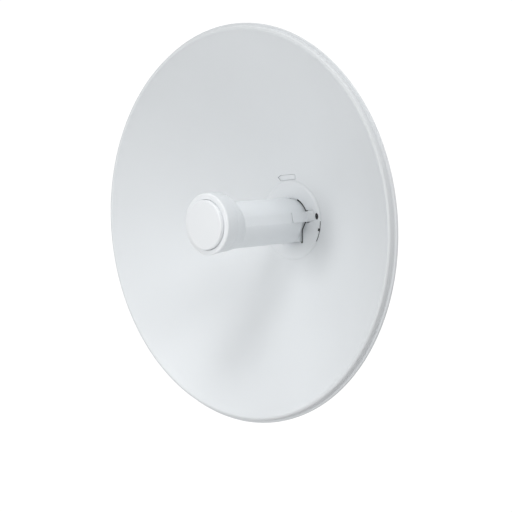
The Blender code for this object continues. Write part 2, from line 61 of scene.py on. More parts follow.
# %% Rim plane and dish axis
rim_low, rim_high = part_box("reflector")
RIM_R = (rim_high.x - rim_low.x) / 2
CREST_RISE = 0.0068
RIM_Y = rim_low.y + CREST_RISE
DISH_AXIS = Matrix.Translation((0.0, RIM_Y, 0.0)) @ Matrix.Rotation(math.radians(90), 4, "X")
print(f"rim radius {RIM_R:.4f} m, rim plane at y {RIM_Y:.4f} m")

# %% [markdown]
# ## Camera
# The outline of the rim in a picture is an ellipse, and its two widths, its centre and its tilt fix where
# the camera stood. A long lens from nearly two metres fits it to within a pixel: 45 degrees to the right,
# a little above the axis, with the picture rolled five degrees. The camera is set from those numbers and
# not by eye, so every later difference is a difference in the object.

# %% Place the camera
CAMERA_AZIMUTH = math.radians(44.74)
CAMERA_ELEVATION = math.radians(1.28)
CAMERA_ROLL = math.radians(-4.98)
CAMERA_DISTANCE = 1.8885
AIM_RIGHT = 0.0197
AIM_UP = -0.0409
LENS_MM = 101.95
SENSOR_MM = 36.0


def way_out(right, up):
    """The unit vector that leaves the dish's front, turned to the right and then up."""
    level = math.cos(up)
    return Vector((math.sin(right) * level, -math.cos(right) * level, math.sin(up)))


def add_camera():
    data = bpy.data.cameras.new("portrait_camera")
    data.lens = LENS_MM
    data.sensor_width = SENSOR_MM
    camera = bpy.data.objects.new("portrait_camera", data)
    bpy.context.scene.collection.objects.link(camera)
    back = way_out(CAMERA_AZIMUTH, CAMERA_ELEVATION)
    upright = back.to_track_quat("Z", "Y").to_matrix()
    turned = upright @ Matrix.Rotation(CAMERA_ROLL, 3, "Z")
    aim = Vector((0.0, RIM_Y, 0.0)) + turned @ Vector((AIM_RIGHT, AIM_UP, 0.0))
    camera.matrix_world = Matrix.Translation(aim + back * CAMERA_DISTANCE) @ turned.to_4x4()
    bpy.context.scene.camera = camera
    return camera


camera = add_camera()
print("camera at", [round(c, 3) for c in camera.matrix_world.translation])

# %% [markdown]
# ## Studio
# White on white is the hardest thing to light. If the room lights everything evenly, the bowl turns into a
# flat disc. So the room in front of the dish is dim, and six soft lights draw the form: a front light fills
# the bowl, three from the right leave its top and right side in shade, one from above lights the barrel,
# and one from behind lights the brackets. Behind and below the dish the room is brighter, and the camera
# sees a white backdrop wherever it looks.

# %% Light the studio
ROOM_STRENGTH = 0.24
BACK_STRENGTH = 0.8
BACK_EDGE = (0.05, 0.52)
GROUND_STRENGTH = 0.87
GROUND_EDGE = (-0.09, -0.03)
BACKDROP_STRENGTH = 1.06
LIGHT_WIDTH = math.radians(24)
LIGHT_DISTANCE = 3.0
SOFT_LIGHTS = (
    # name, degrees to the right of the dish's axis, degrees up, strength
    ("front_light", -15, 10, 0.96),
    ("camera_light", 45, 35, 0.32),
    ("key_light", 45, 60, 0.86),
    ("side_light", 75, 35, 0.34),
    ("top_light", 0, 85, 0.45),
    ("rear_light", 160, 50, 0.50),
)


def fade(tree, value, edge, strengths):
    """A smooth step from one brightness to another as a direction's coordinate crosses an edge."""
    step = tree.nodes.new("ShaderNodeMapRange")
    step.interpolation_type = "SMOOTHSTEP"
    for socket, number in zip(("From Min", "From Max", "To Min", "To Max"), (*edge, *strengths)):
        step.inputs[socket].default_value = number
    tree.links.new(value, step.inputs["Value"])
    return step.outputs["Result"]


def light_room():
    """Dim in front of the dish, bright behind and below it, and a white backdrop for the camera."""
    world = bpy.data.worlds.new("studio_room")
    world.use_nodes = True
    tree = world.node_tree
    way = tree.nodes.new("ShaderNodeTexCoord")
    axes = tree.nodes.new("ShaderNodeSeparateXYZ")
    brightest = tree.nodes.new("ShaderNodeMath")
    brightest.operation = "MAXIMUM"
    seen = tree.nodes.new("ShaderNodeLightPath")
    pick = tree.nodes.new("ShaderNodeMix")
    pick.inputs["B"].default_value = BACKDROP_STRENGTH
    tree.links.new(way.outputs["Generated"], axes.inputs["Vector"])
    behind_dish = fade(tree, axes.outputs["Y"], BACK_EDGE, (ROOM_STRENGTH, BACK_STRENGTH))
    below_dish = fade(tree, axes.outputs["Z"], GROUND_EDGE, (GROUND_STRENGTH, ROOM_STRENGTH))
    tree.links.new(behind_dish, brightest.inputs[0])
    tree.links.new(below_dish, brightest.inputs[1])
    tree.links.new(seen.outputs["Is Camera Ray"], pick.inputs["Factor"])
    tree.links.new(brightest.outputs["Value"], pick.inputs["A"])
    tree.links.new(pick.outputs["Result"], tree.nodes["Background"].inputs["Strength"])
    tree.nodes["Background"].inputs["Color"].default_value = (1.0, 1.0, 1.0, 1.0)
    bpy.context.scene.world = world


def add_soft_light(name, right, up, strength):
    data = bpy.data.lights.new(name, "SUN")
    data.energy = strength
    data.angle = LIGHT_WIDTH
    light = bpy.data.objects.new(name, data)
    towards = way_out(math.radians(right), math.radians(up))
    light.location = towards * LIGHT_DISTANCE
    light.rotation_euler = towards.to_track_quat("Z", "Y").to_euler()
    bpy.context.scene.collection.objects.link(light)


light_room()
for soft_light in SOFT_LIGHTS:
    add_soft_light(*soft_light)
bpy.context.scene.view_settings.view_transform = "Standard"
print("soft lights:", len(SOFT_LIGHTS))

# %% [markdown]
# ## Floor
# The antenna hangs on its bracket, so the floor is well below it and only throws soft light up at it. It is
# a round, pale, matte sheet, small enough to end just below the lower right corner of the picture.

# %% Lay the floor
FLOOR_Z = -1.1
FLOOR_R = 3.1
FLOOR_TONE = (0.62, 0.62, 0.62, 1.0)


def add_floor():
    mesh = bpy.data.meshes.new("studio_floor")
    bm = bmesh.new()
    bmesh.ops.create_circle(bm, cap_ends=True, segments=128, radius=FLOOR_R)
    bm.to_mesh(mesh)
    bm.free()
    floor = bpy.data.objects.new("studio_floor", mesh)
    floor.location = (0.0, 0.0, FLOOR_Z)
    bpy.context.scene.collection.objects.link(floor)
    paint = bpy.data.materials.new("floor_paint")
    paint.use_nodes = True
    shader = paint.node_tree.nodes["Principled BSDF"]
    shader.inputs["Base Color"].default_value = FLOOR_TONE
    shader.inputs["Roughness"].default_value = 0.9
    mesh.materials.append(paint)


add_floor()
print("floor", FLOOR_Z, "m from the dish's axis, radius", FLOOR_R)

# %% [markdown]
# ## Finishes
# A finish is never one number. Powder coat has a faint orange peel, moulded plastic a fine grain, zinc a
# spangle and rubber a dull bloom. Each is a small node tree in object space, so its scale is in metres. The
# constants stay on the shader's own sockets, and only the colour, the roughness and the bump are drawn.

# %% Node helpers


def new_finish(name, roughness, metallic=0.0):
    finish = bpy.data.materials.new(name)
    finish.use_nodes = True
    shader = finish.node_tree.nodes["Principled BSDF"]
    shader.inputs["Roughness"].default_value = roughness
    shader.inputs["Metallic"].default_value = metallic
    return finish, finish.node_tree, shader


def noise(tree, scale, detail=2.0):
    """Noise in object space. A scale of 100 gives spots about 10 mm across."""
    place = tree.nodes.new("ShaderNodeTexCoord")
    spots = tree.nodes.new("ShaderNodeTexNoise")
    spots.inputs["Scale"].default_value = scale
    spots.inputs["Detail"].default_value = detail
    tree.links.new(place.outputs["Object"], spots.inputs["Vector"])
    return spots.outputs["Fac"]


def ramp(tree, value, low, high):
    """Maps the middle of a noise to a colour or a grey between low and high."""
    blend = tree.nodes.new("ShaderNodeValToRGB")
    blend.color_ramp.elements[0].position = 0.35
    blend.color_ramp.elements[1].position = 0.65
    blend.color_ramp.elements[0].color = (*low, 1.0)
    blend.color_ramp.elements[1].color = (*high, 1.0)
    tree.links.new(value, blend.inputs["Fac"])
    return blend.outputs["Color"]


def grey(level):
    return (level, level, level)


def draw(tree, shader, socket, value, low, high):
    """Lets a pattern vary one socket of the shader between two levels."""
    tree.links.new(ramp(tree, value, low, high), shader.inputs[socket])


def bump(tree, shader, height, strength, depth):
    node = tree.nodes.new("ShaderNodeBump")
    node.inputs["Strength"].default_value = strength
    node.inputs["Distance"].default_value = depth
    tree.links.new(height, node.inputs["Height"])
    tree.links.new(node.outputs["Normal"], shader.inputs["Normal"])


# The colour sockets of a Mix node share their names with its other sockets, so they go by number
MIX_FACTOR, MIX_A, MIX_B, MIX_RESULT = 0, 6, 7, 2


def blend_tone(finish, value, start, end, tone):
    """Fades the base colour to another tone as a value goes from start to end."""
    tree = finish.node_tree
    shader = tree.nodes["Principled BSDF"]
    step = tree.nodes.new("ShaderNodeMapRange")
    blend = tree.nodes.new("ShaderNodeMix")
    blend.data_type = "RGBA"
    step.inputs["From Min"].default_value = start
    step.inputs["From Max"].default_value = end
    blend.inputs[MIX_B].default_value = (*tone, 1.0)
    tree.links.new(value, step.inputs["Value"])
    tree.links.new(step.outputs["Result"], blend.inputs[MIX_FACTOR])
    tree.links.new(shader.inputs["Base Color"].links[0].from_socket, blend.inputs[MIX_A])
    tree.links.new(blend.outputs[MIX_RESULT], shader.inputs["Base Color"])


def off_axis(tree):
    """How far a point lies from the piece's own Z."""
    place = tree.nodes.new("ShaderNodeTexCoord")
    flat = tree.nodes.new("ShaderNodeVectorMath")
    flat.operation = "MULTIPLY"
    flat.inputs[1].default_value = (1.0, 1.0, 0.0)
    length = tree.nodes.new("ShaderNodeVectorMath")
    length.operation = "LENGTH"
    tree.links.new(place.outputs["Object"], flat.inputs[0])
    tree.links.new(flat.outputs["Vector"], length.inputs[0])
    return length.outputs["Value"]


def own_height(tree):
    """How far a point lies along the piece's own Z."""
    axes = tree.nodes.new("ShaderNodeSeparateXYZ")
    tree.links.new(tree.nodes.new("ShaderNodeTexCoord").outputs["Object"], axes.inputs["Vector"])
    return axes.outputs["Z"]


# %% [markdown]
# The reflector is powder-coated. Seen close, the coat is slightly wavy; seen from afar, it is an even grey
# white that the light models. Broad noises vary its tone and gloss, and a fine one makes the peel. Beyond the
# crest the tone drops a little: painted shade, which dims the lit bead and darkens the lines of the rim.

# %% Powder coat
COAT_TONES = (0.760, 0.786, 0.805), (0.774, 0.800, 0.819)
# Painted shade: the rim beyond the crest is painted darker than the bowl.
RIM_PAINTED_SHADE_TONE = (0.665, 0.686, 0.702)
RIM_PAINTED_SHADE_FADE = (0.2515, 0.2545)


def powder_coat():
    finish, tree, shader = new_finish("powder_coat", 0.5)
    draw(tree, shader, "Base Color", noise(tree, 6.0), *COAT_TONES)
    draw(tree, shader, "Roughness", noise(tree, 40.0), grey(0.46), grey(0.54))
    bump(tree, shader, noise(tree, 520.0, 1.0), 0.12, 0.0002)
    # painted shade on the rim, fading in beyond the crest
    blend_tone(finish, off_axis(tree), *RIM_PAINTED_SHADE_FADE, RIM_PAINTED_SHADE_TONE)
    return finish


# %% [markdown]
# Moulded white plastic has a finer grain. The cap is polished more than the barrel, because the radio waves
# leave through it and dirt should not stick. One function makes both from two numbers. The front of the cap
# is painted paler by height: a painted highlight where light falls on its face, against the shaded drum.

# %% Moulded plastic
PLASTIC_TONES = (0.764, 0.791, 0.811), (0.774, 0.801, 0.821)
# Painted highlight: the paler tone that the cap's front fades to.
CAP_FRONT_PAINTED_HIGHLIGHT = (0.855, 0.878, 0.897)
CAP_PAINTED_HIGHLIGHT_FADE = (0.0596, 0.0612)


def moulded_plastic(name, roughness, grain):
    finish, tree, shader = new_finish(name, roughness)
    draw(tree, shader, "Base Color", noise(tree, 18.0), *PLASTIC_TONES)
    draw(tree, shader, "Roughness", noise(tree, 240.0), grey(roughness - 0.015), grey(roughness + 0.015))
    bump(tree, shader, noise(tree, grain, 3.0), 0.10, 0.0001)
    return finish


def polished_plastic_with_painted_highlight():
    finish = moulded_plastic("cap_plastic", 0.32, 2400.0)
    # painted highlight on the cap's front
    blend_tone(finish, own_height(finish.node_tree), *CAP_PAINTED_HIGHLIGHT_FADE, CAP_FRONT_PAINTED_HIGHLIGHT)
    return finish


# %% [markdown]
# Hot zinc freezes in crystals, so a zinc-coated sheet has pale and dark patches a few millimetres across.
# A Voronoi texture gives one tone to each crystal. Bolts are plated, brighter, and only a little uneven.

# %% Zinc, bright plating and rubber
ZINC_TONES = (0.545, 0.555, 0.565), (0.605, 0.615, 0.625)
PLATING_TONES = (0.60, 0.60, 0.59), (0.70, 0.70, 0.69)
RUBBER_TONES = (0.014, 0.014, 0.015), (0.030, 0.030, 0.032)


def zinc_sheet():
    finish, tree, shader = new_finish("zinc_sheet", 0.42, 1.0)
    place = tree.nodes.new("ShaderNodeTexCoord")
    crystals = tree.nodes.new("ShaderNodeTexVoronoi")
    crystals.inputs["Scale"].default_value = 290.0
    tree.links.new(place.outputs["Object"], crystals.inputs["Vector"])
    tone = tree.nodes.new("ShaderNodeSeparateColor")
    tree.links.new(crystals.outputs["Color"], tone.inputs["Color"])
    draw(tree, shader, "Base Color", tone.outputs["Red"], *ZINC_TONES)
    draw(tree, shader, "Roughness", tone.outputs["Green"], grey(0.38), grey(0.46))
    bump(tree, shader, noise(tree, 700.0), 0.10, 0.0001)
    return finish


def bright_plating():
    finish, tree, shader = new_finish("bright_plating", 0.26, 1.0)
    draw(tree, shader, "Base Color", noise(tree, 260.0), *PLATING_TONES)
    draw(tree, shader, "Roughness", noise(tree, 420.0), grey(0.22), grey(0.34))
    bump(tree, shader, noise(tree, 1500.0), 0.08, 0.0001)
    return finish


# Black rubber is the gland's own colour; on the hub it is painted shade in the seam, groove, notch and holes.
def black_rubber():
    finish, tree, shader = new_finish("black_rubber", 0.8)
    draw(tree, shader, "Base Color", noise(tree, 150.0), *RUBBER_TONES)
    draw(tree, shader, "Roughness", noise(tree, 300.0), grey(0.72), grey(0.88))
    bump(tree, shader, noise(tree, 2200.0), 0.2, 0.0001)
    return finish


FINISHES = {
    "white_paint": powder_coat(),
    "white_plastic": moulded_plastic("satin_plastic", 0.42, 1600.0),
    "cap_plastic": polished_plastic_with_painted_highlight(),
    "black_rubber": black_rubber(),
    "zinc_steel": zinc_sheet(),
    "bright_steel": bright_plating(),
}
slot_of = {row["node"]: row["material_slot"] for row in frame["record"]["subparts"]}
for node_name, node in frame["nodes"].items():
    node.data.materials.clear()
    node.data.materials.append(FINISHES[slot_of[node_name]])
print("finishes:", list(FINISHES))

# %% [markdown]
# ## Shape tools
# Real parts have no knife edges: a mould needs draft and round corners, a press leaves a bend radius. So the
# first tool rounds the corners of a path, and most of the profiles and outlines below are drawn with it. The
# others turn a profile, thicken an outline, cut one shape with another, and break the edges that are left.

# %% Round the corners of a path
FIT = 0.0003  # the gap that is left where one piece fits against another
TINY = 0.000001  # closer than this, two points are one


def fillet(corners, steps=5):
    """Rounds a path. A corner is (x, y) or (x, y, radius), and only a closed path rounds its ends."""
    path = []
    for i, (x, y, *rounding) in enumerate(corners):
        here = Vector((x, y))
        if not rounding:
            path.append((here.x, here.y))
            continue
        radius = rounding[0]
        back = (Vector(corners[i - 1][:2]) - here).normalized()
        on = (Vector(corners[(i + 1) % len(corners)][:2]) - here).normalized()
        half = back.angle(on) / 2
        centre = here + (back + on).normalized() * radius / math.sin(half)
        start = here + back * radius / math.tan(half) - centre
        end = here + on * radius / math.tan(half) - centre
        first = math.atan2(start.y, start.x)
        turn = math.remainder(math.atan2(end.y, end.x) - first, math.tau)
        for k in range(steps + 1):
            angle = first + turn * k / steps
            path.append((centre.x + radius * math.cos(angle), centre.y + radius * math.sin(angle)))
    return path


def rounded(low, high, radius):
    """A rectangle between two corners, with all four rounded."""
    corners = (low[0], low[1]), (high[0], low[1]), (high[0], high[1]), (low[0], high[1])
    return fillet([(*corner, radius) for corner in corners])


def arc(radius, start, end, count, centre=(0.0, 0.0)):
    """Points on an arc, angles in degrees from +X."""
    angles = [math.radians(start + (end - start) * i / (count - 1)) for i in range(count)]
    return [(centre[0] + radius * math.cos(a), centre[1] + radius * math.sin(a)) for a in angles]


print("a rounded square has", len(rounded((0, 0), (1, 1), 0.1)), "points")

# %% Turn a profile


def new_object(name, bm, place):
    mesh = bpy.data.meshes.new(name)
    bmesh.ops.recalc_face_normals(bm, faces=bm.faces)
    bm.to_mesh(mesh)
    bm.free()
    piece = bpy.data.objects.new(name, mesh)
    piece.matrix_world = place
    bpy.context.scene.collection.objects.link(piece)
    return piece


def lathe(name, profile, steps, place=DISH_AXIS):
    """A body turned about local Z from a closed profile of (radius, height) points."""
    bm = bmesh.new()
    rings = []
    for radius, height in profile:
        count = steps if radius > TINY else 1
        spokes = [math.tau * i / steps for i in range(count)]
        rings.append([bm.verts.new((radius * math.cos(a), radius * math.sin(a), height)) for a in spokes])
    for upper, lower in zip(rings, rings[1:] + rings[:1]):
        for i in range(steps):
            j = (i + 1) % steps
            turns = (upper, i), (lower, i), (lower, j), (upper, j)
            corners = list(dict.fromkeys(ring[k % len(ring)] for ring, k in turns))
            if len(corners) > 2:
                bm.faces.new(corners)
    return new_object(name, bm, place)


# %% Thicken an outline


def slab(name, loops, low, high, place=DISH_AXIS):
    """An outline between two heights. The first loop is the outside, any more are holes."""
    curve = bpy.data.curves.new(name, "CURVE")
    curve.dimensions = "2D"
    curve.fill_mode = "BOTH"
    curve.extrude = (high - low) / 2
    for loop in loops:
        spline = curve.splines.new("POLY")
        spline.points.add(len(loop) - 1)
        for point, (x, y) in zip(spline.points, loop):
            point.co = (x, y, 0.0, 1.0)
        spline.use_cyclic_u = True
    drawn = bpy.data.objects.new(name, curve)
    bpy.context.scene.collection.objects.link(drawn)
    graph = bpy.context.evaluated_depsgraph_get()
    bm = bmesh.new()
    flat = bpy.data.meshes.new_from_object(drawn.evaluated_get(graph))
    bm.from_mesh(flat)
    bpy.data.objects.remove(drawn)
    bmesh.ops.remove_doubles(bm, verts=bm.verts, dist=TINY)
    bmesh.ops.dissolve_limit(bm, angle_limit=0.001, verts=bm.verts, edges=bm.edges)
    bmesh.ops.translate(bm, vec=(0.0, 0.0, (high + low) / 2), verts=bm.verts)
    return new_object(name, bm, place)


def bar(name, low, high, place=DISH_AXIS):
    """A box between two corners, used to cut or to build on."""
    outline = [(low[0], low[1]), (high[0], low[1]), (high[0], high[1]), (low[0], high[1])]
    return slab(name, [outline], low[2], high[2], place)


# %% Cut, join and soften


def bake(piece):
    """Turns a piece's modifiers into plain mesh."""
    graph = bpy.context.evaluated_depsgraph_get()
    mesh = bpy.data.meshes.new_from_object(piece.evaluated_get(graph))
    piece.modifiers.clear()
    piece.data = mesh


def carve(piece, *others, operation="DIFFERENCE"):
    """Cuts other shapes out of a piece, or joins them to it, and removes them."""
    for other in others:
        step = piece.modifiers.new("carve", "BOOLEAN")
        step.solver = "EXACT"
        step.operation = operation
        step.object = other
        bake(piece)
        bpy.data.objects.remove(other)


def join(piece, *others):
    carve(piece, *others, operation="UNION")


def soften(piece, width, segments=2, angle=35):
    """Rounds the sharp edges that a moulding or a deburred sheet doesn't have."""
    edges = piece.modifiers.new("soften", "BEVEL")
    edges.width = width
    edges.segments = segments
    edges.limit_method = "ANGLE"
    edges.angle_limit = math.radians(angle)
    edges.use_clamp_overlap = True
    bake(piece)


def dress(piece, slot_name, *nodes, sharp=40):
    """Gives a piece its finish and its body, and hides the frame nodes that it stands for."""
    piece.data.materials.clear()
    piece.data.materials.append(FINISHES[slot_name])
    piece.data.shade_smooth()
    piece.data.set_sharp_from_angle(angle=math.radians(sharp))
    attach(piece, "root")
    if nodes:
        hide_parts(*nodes)
    bpy.context.view_layer.update()
    print(piece.name, len(piece.data.polygons), "faces")
    return piece


# %% [markdown]
# ## The reflector
# The bowl is a paraboloid, so that a wave which arrives along the axis is folded to one point, where the
# feed's small mirror waits. It is pressed from one sheet 1.2 mm thick. A free edge of thin sheet would ring
# and bend, so the press rolls the rim: the bowl curls over into a bead, steps down to a narrow flange, and
# the flange turns back. In the picture those bends are the fine lines along the lower right edge.

# %% Draw the bowl's section
SHEET = 0.0012
CREST_R = 0.252
CREST_T = 0.007
BOWL_DEPTH = 0.1084
HOLE_R = 0.0519
BOWL_END_R = 0.2478


def bowl_t(radius):
    """How far forward of the rim plane the bowl lies at a radius."""
    return CREST_T - BOWL_DEPTH * (1 - (radius / CREST_R) ** 2)


def bowl_slope(radius):
    return 2 * BOWL_DEPTH * radius / CREST_R**2


def behind(path, depth):
    """The same open path moved back by the sheet's thickness."""
    moved = []
    for i, point in enumerate(path):
        along = Vector(path[min(i + 1, len(path) - 1)]) - Vector(path[max(i - 1, 0)])
        away = Vector((along.y, -along.x)).normalized() * depth
        moved.append((point[0] + away.x, point[1] + away.y))
    return moved


BOWL_RINGS = 56
bowl_path = [
    (r, bowl_t(r)) for r in (HOLE_R + (BOWL_END_R - HOLE_R) * i / BOWL_RINGS for i in range(BOWL_RINGS + 1))
]
bead = [
    bowl_path[-1],
    (0.2520, 0.0078, 0.0034),
    (0.2555, 0.0068, 0.0018),
    (0.2562, 0.0001, 0.0009),
    (RIM_R, 0.0000, 0.0013),
    (RIM_R, -0.0026),
]
front_path = bowl_path[:-1] + fillet(bead, 7)
sheet_section = front_path + behind(front_path, SHEET)[::-1]
print("section points:", len(sheet_section), "focal length:", round(CREST_R**2 / (4 * BOWL_DEPTH), 4))

# %% [markdown]
# Above the hub a small key shows through a slot in the sheet. It can only go in one way, so the housing
# behind can't be fitted upside down. The key's frame lies in the slope of the bowl.

# %% Press the reflector and fit the key
KEY_CENTRE = 0.0580
KEY_POINTS = ((-0.0168, 0.0010), (-0.0105, 0.0036), (0.0143, 0.0031), (0.0137, -0.0037), (-0.0125, -0.0035))
KEY_CORNERS = (0.0005, 0.0012, 0.0009, 0.0009, 0.0010)
KEY_DEPTH = 0.0045
KEY_GAP = 0.00035
KEY_END_GAP = 0.00095
tilt = Matrix.Rotation(math.atan(bowl_slope(KEY_CENTRE)), 4, "X")
key_place = DISH_AXIS @ Matrix.Translation((0.0, KEY_CENTRE, bowl_t(KEY_CENTRE))) @ tilt


def key_outline(side, tip):
    """The key's outline, grown by side all round and by tip at its two ends."""
    grown = []
    for (x, y), radius in zip(KEY_POINTS, KEY_CORNERS):
        reach = tip if abs(x) > 0.0132 else side
        grown.append((x + math.copysign(reach, x), y + math.copysign(side, y), radius + side))
    return fillet(grown, 4)


reflector = lathe("pressed_reflector", sheet_section, 224)
carve(reflector, slab("key_slot", [key_outline(KEY_GAP, KEY_END_GAP)], -0.006, 0.006, key_place))
dress(reflector, "white_paint", "reflector", sharp=50)
key = slab("moulded_key", [key_outline(0.0, 0.0)], -KEY_DEPTH, 0.0, key_place)
soften(key, 0.0005)
dress(key, "white_plastic", "alignment_key")

# %% [markdown]
# ## Hub, and painted shade in its seams
# The hub disc closes the middle of the dish and takes the feed. Its opening has the shape of the feed's
# tail, round above and square-footed below, so the feed goes in with its polarisation upright. Black rubber
# lines the seam of the opening: painted shade, standing in for the shade deep in the seam. Two oval holes let
# a screwdriver reach the latches. Low on the right, a groove and a notch in the disc's edge take the blade
# that pries it off. Black rubber fills the groove, the notch and the holes as painted shade, and makes the
# dark line.

# %% Outline of the keyed tail
BARREL_R = 0.0304
TAIL_R = 0.0292
TAIL_SHOULDER = (0.0184, -0.0132)
TAIL_KEY = (0.0163, -0.0298)
SEAM = 0.0024
HUB_R = 0.0534
HUB_FACE_T = -0.0950
HUB_NECK_R = 0.0512
HUB_BOTTOM_T = -0.1120
FACET_R = 0.0297
FACET_TURN = math.radians(5.5)


def tail_outline(grow, corner=0.0010):
    """The section of the feed's tail, grown by an even amount."""
    round_part = arc(TAIL_R + grow, 2, 178, 89)
    foot = [
        round_part[-1],
        (-TAIL_SHOULDER[0] - grow, TAIL_SHOULDER[1] - grow * 0.32, corner * 2),
        (-TAIL_KEY[0] - grow, TAIL_KEY[1] - grow, corner + grow * 0.3),
        (TAIL_KEY[0] + grow, TAIL_KEY[1] - grow, corner + grow * 0.3),
        (TAIL_SHOULDER[0] + grow, TAIL_SHOULDER[1] - grow * 0.32, corner * 2),
        round_part[0],
    ]
    return round_part[1:-1] + fillet(foot, 4)


def side_place(side):
    """Local X points out of the flat on one side of the barrel."""
    turn = FACET_TURN if side > 0 else math.pi - FACET_TURN
    return DISH_AXIS @ Matrix.Rotation(turn, 4, "Z")


print("tail outline:", len(tail_outline(0.0)), "points")

# %% Mould the hub disc
CLEAR_T = -0.08  # in front of the hub, where every cut in it ends
LIP_T = (-0.1000, -0.0958)
LIP_ENDS = (62.5, 117.5)
LATCH_HALF_HEIGHT = 0.0070
LATCH_REACH = 0.0430
RELEASE_HOLE = (0.0474, 0.0023)
RELEASE_HALF = (0.0030, 0.0045)
PRY_ARC = (-36, -5)
PRY_NOTCH = math.radians(-18)
SIDES = (("right", 1), ("left", -1))
hub_section = fillet(
    [
        (0.0, HUB_FACE_T),
        (0.0505, HUB_FACE_T, 0.0060),
        (HUB_R, bowl_t(HUB_R) + 0.00035),
        (HUB_R, bowl_t(HUB_R) + 0.00015),
        (HUB_NECK_R, bowl_t(HUB_NECK_R) + 0.00015),
        (HUB_NECK_R, HUB_BOTTOM_T),
        (0.0, HUB_BOTTOM_T),
    ]
)


def release_oval(side, inset):
    """The hole that a tool goes in to free a latch."""
    centre_x = side * RELEASE_HOLE[0]
    half_x, half_y = RELEASE_HALF[0] - inset, RELEASE_HALF[1] - inset
    return [(centre_x + half_x * x, RELEASE_HOLE[1] + half_y * y) for x, y in arc(1, 0, 352.5, 48)]


def pry_groove(inset):
    """A thin groove just inside the edge, where a blade lifts the hub out of the sheet."""
    outer = HUB_R - FIT - inset
    inner = HUB_R - 0.0014 + inset
    return arc(outer, *PRY_ARC, 33) + arc(inner, *PRY_ARC[::-1], 33)


def pry_notch(inset):
    corners = [(0.0498, -0.0019), (0.0532, -0.0019), (0.0532, 0.0019), (0.0498, 0.0019)]
    outline = [(x + inset * (1 if x < 0.052 else -1), y * (1 - inset / 0.0019)) for x, y in corners]
    turn = Matrix.Rotation(PRY_NOTCH, 2)
    return [tuple(turn @ Vector(corner)) for corner in outline]


hub = lathe("moulded_hub", hub_section, 128)
cutters = [slab("feed_opening", [tail_outline(SEAM)], -0.13, CLEAR_T)]
for _, side in SIDES:
    half = LATCH_HALF_HEIGHT + FIT
    low, high = (0.029, -half, HUB_FACE_T - 0.0020), (LATCH_REACH + FIT, half, CLEAR_T)
    cutters.append(bar("latch_slot", low, high, side_place(side)))
    half = LATCH_HALF_HEIGHT + 0.0014
    low, high = (0.0275, -half, HUB_FACE_T - 0.0060), (0.0335, half, CLEAR_T)
    cutters.append(bar("slot_relief", low, high, side_place(side)))
    cutters.append(slab("release_hole", [release_oval(side, 0.0)], HUB_FACE_T - 0.0050, CLEAR_T))
cutters.append(slab("pry_groove", [pry_groove(0.0)], HUB_FACE_T - 0.0025, CLEAR_T))
cutters.append(slab("pry_notch", [pry_notch(0.0)], HUB_FACE_T - 0.0030, CLEAR_T))
carve(hub, *cutters)
lip_arc = arc(TAIL_R + FIT, *LIP_ENDS, 29) + arc(TAIL_R + SEAM + 0.0006, *LIP_ENDS[::-1], 29)
foot_low, foot_high = (-0.0180, TAIL_KEY[1] - 0.0036, LIP_T[0]), (0.0148, TAIL_KEY[1] - FIT, LIP_T[1])
join(hub, slab("arch_lip", [lip_arc], *LIP_T), bar("foot_lip", foot_low, foot_high))
soften(hub, 0.0003, 2, 50)
dress(hub, "white_plastic", "hub_disc")

# %% Lay the painted shade in the seam
INSERT_GAP = 0.00005
# Painted shade: black rubber lines the seam around the feed, where the seam is only in shade.
shade_lining_loops = [tail_outline(SEAM - FIT), tail_outline(FIT)]
shade_lining = slab("seam_painted_shade", shade_lining_loops, HUB_BOTTOM_T + FIT, HUB_FACE_T - 0.0009)
room_ends = (LIP_ENDS[0] - 0.4, LIP_ENDS[1] + 0.4)
lip_room = arc(TAIL_R - 0.001, *room_ends, 29) + arc(TAIL_R + SEAM + 0.001, *room_ends[::-1], 29)
room_t = LIP_T[0] - FIT
foot_low, foot_high = (-0.0183, TAIL_KEY[1] - 0.0040, room_t), (0.0151, TAIL_KEY[1] + 0.001, CLEAR_T)
carve(shade_lining, slab("arch_room", [lip_room], room_t, CLEAR_T), bar("foot_room", foot_low, foot_high))
dress(shade_lining, "black_rubber", "hub_gasket")
# Painted shade: black rubber fills the pry groove, the notch and the release holes, where there is only
# shade.
painted_shade_inserts = [
    ("groove_painted_shade", pry_groove(INSERT_GAP), 0.0015, 0.0011),
    ("notch_painted_shade", pry_notch(INSERT_GAP), 0.0029, 0.0008),
]
painted_shade_inserts += [(f"release_plug_{name}", release_oval(side, INSERT_GAP), 0.0049, 0.0007) for name, side in SIDES]
for name, outline, bottom, top in painted_shade_inserts:
    dress(slab(name, [outline], HUB_FACE_T - bottom, HUB_FACE_T - top), "black_rubber")

# %% [markdown]
# ## Feed barrel and latches
# The radio sits in the barrel. Two flats run along its sides, a little above the middle, and the latches lie
# on them. Just before the hub, within a centimetre, the round barrel narrows softly to the keyed section.
# Such a change of section is a loft: every loop has the same number of points, and faces join each loop to
# the next.

# %% Loft through loops


def loft(name, loops, place=DISH_AXIS):
    """A closed body through loops of (x, y, z) points, all with the same count."""
    bm = bmesh.new()
    rings = [[bm.verts.new(point) for point in loop] for loop in loops]
    for lower, upper in zip(rings, rings[1:]):
        for i in range(len(lower)):
            bm.faces.new((lower[i - 1], lower[i], upper[i], upper[i - 1]))
    bm.faces.new(rings[0])
    bm.faces.new(rings[-1])
    return new_object(name, bm, place)


def dense(outline, step):
    """The same outline with no side longer than step."""
    points = []
    for i, point in enumerate(outline):
        start, end = Vector(outline[i - 1]), Vector(point)
        parts = max(1, math.ceil((end - start).length / step))
        points += [tuple(start.lerp(end, k / parts)) for k in range(parts)]
    return points


def between(start, end, share):
    return start + (end - start) * share


